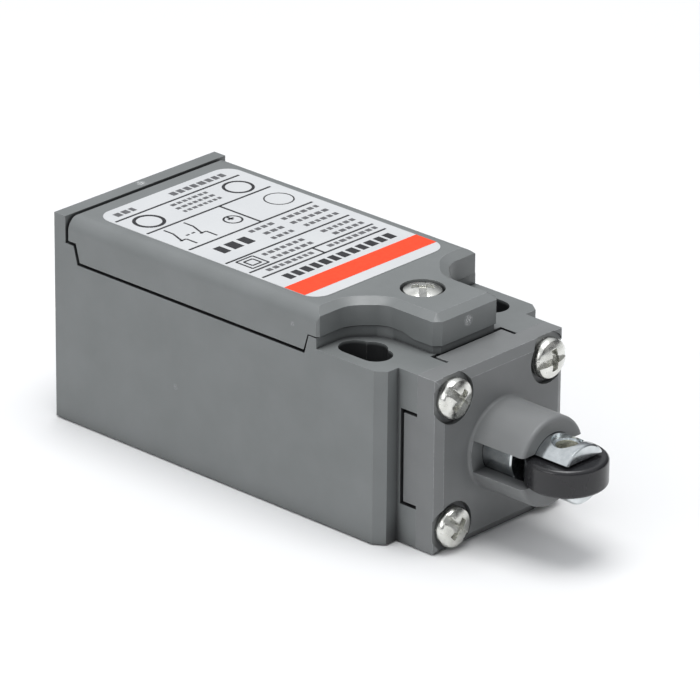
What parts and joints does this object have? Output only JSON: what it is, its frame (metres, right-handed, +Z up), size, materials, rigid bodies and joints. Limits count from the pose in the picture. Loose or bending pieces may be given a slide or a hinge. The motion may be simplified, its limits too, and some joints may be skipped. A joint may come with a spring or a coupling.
{
  "type": "limit switch",
  "caption": "Plastic-bodied limit switch with a steel roller plunger head, a lift-off labelled lid, and snap contacts inside.",
  "frame": {"origin": "on the mounting face, midway between the two mounting holes", "axes": "+Z up from the mounting face to the label; +Y along the plunger, from the cable end to the roller; +X across the width"},
  "size_m": [0.03, 0.0823, 0.0296],
  "materials": {
    "housing_grey": "fine satin moulded plastic",
    "rubber_black": "soft matt",
    "zinc_steel": "bright zinc plating",
    "polished_steel": "ground and polished",
    "spring_steel": "drawn wire",
    "brass": "plain",
    "copper": "plain copper alloy",
    "contact_silver": "plain",
    "insulator_black": "moulded",
    "carrier_ivory": "moulded",
    "roller_black": "polished nylon",
    "label_white": "printed film"
  },
  "bodies": {
    "housing": {"base_housing": "housing_grey", "head_housing": "housing_grey", "head_gasket": "rubber_black", "head_screws": "zinc_steel", "plunger_seal": "rubber_black", "seal_retainer": "zinc_steel", "lid_nut_insert": "brass", "contact_frame": "insulator_black", "frame_screws": "zinc_steel", "fixed_contact_left_front": "brass", "fixed_contact_left_rear": "brass", "fixed_contact_right_front": "brass", "fixed_contact_right_rear": "brass", "fixed_contact_tips": "contact_silver", "terminal_clamps": "zinc_steel", "terminal_screws": "zinc_steel", "plunger_spring": "spring_steel", "carrier_spring": "spring_steel"},
    "plunger": {"roller_plunger": "polished_steel", "roller_pin": "polished_steel"},
    "roller": {"roller": "roller_black"},
    "carrier": {"contact_carrier": "carrier_ivory", "moving_contact_front": "copper", "moving_contact_rear": "copper", "moving_contact_tips": "contact_silver", "contact_springs": "spring_steel"},
    "lid": {"lid": "housing_grey", "lid_gasket": "rubber_black", "lid_screw": "zinc_steel", "lid_screw_ring": "zinc_steel", "label": "label_white"}
  },
  "joints": [
    {"name": "plunger_slide", "type": "slide", "parent": "housing", "child": "plunger", "axis": [0, -1, 0], "range_m": [0, 0.005], "stiffness_N_per_m": 600, "springref_m": -0.01, "deforming": ["plunger_spring"]},
    {"name": "roller_spin", "type": "hinge", "parent": "plunger", "child": "roller", "pos_m": [0, 0.0246, 0.01184], "axis": [0, 0, 1], "continuous": true},
    {"name": "carrier_slide", "type": "slide", "parent": "housing", "child": "carrier", "axis": [0, -1, 0], "range_m": [0, 0.005], "deforming": ["carrier_spring"]},
    {"name": "lid_lift", "type": "slide", "parent": "housing", "child": "lid", "axis": [0, 0, 1], "range_m": [0, 0.035]}
  ],
  "couplings": [
    {"joint": "carrier_slide", "follows": "plunger_slide", "ratio": 1}
  ]
}
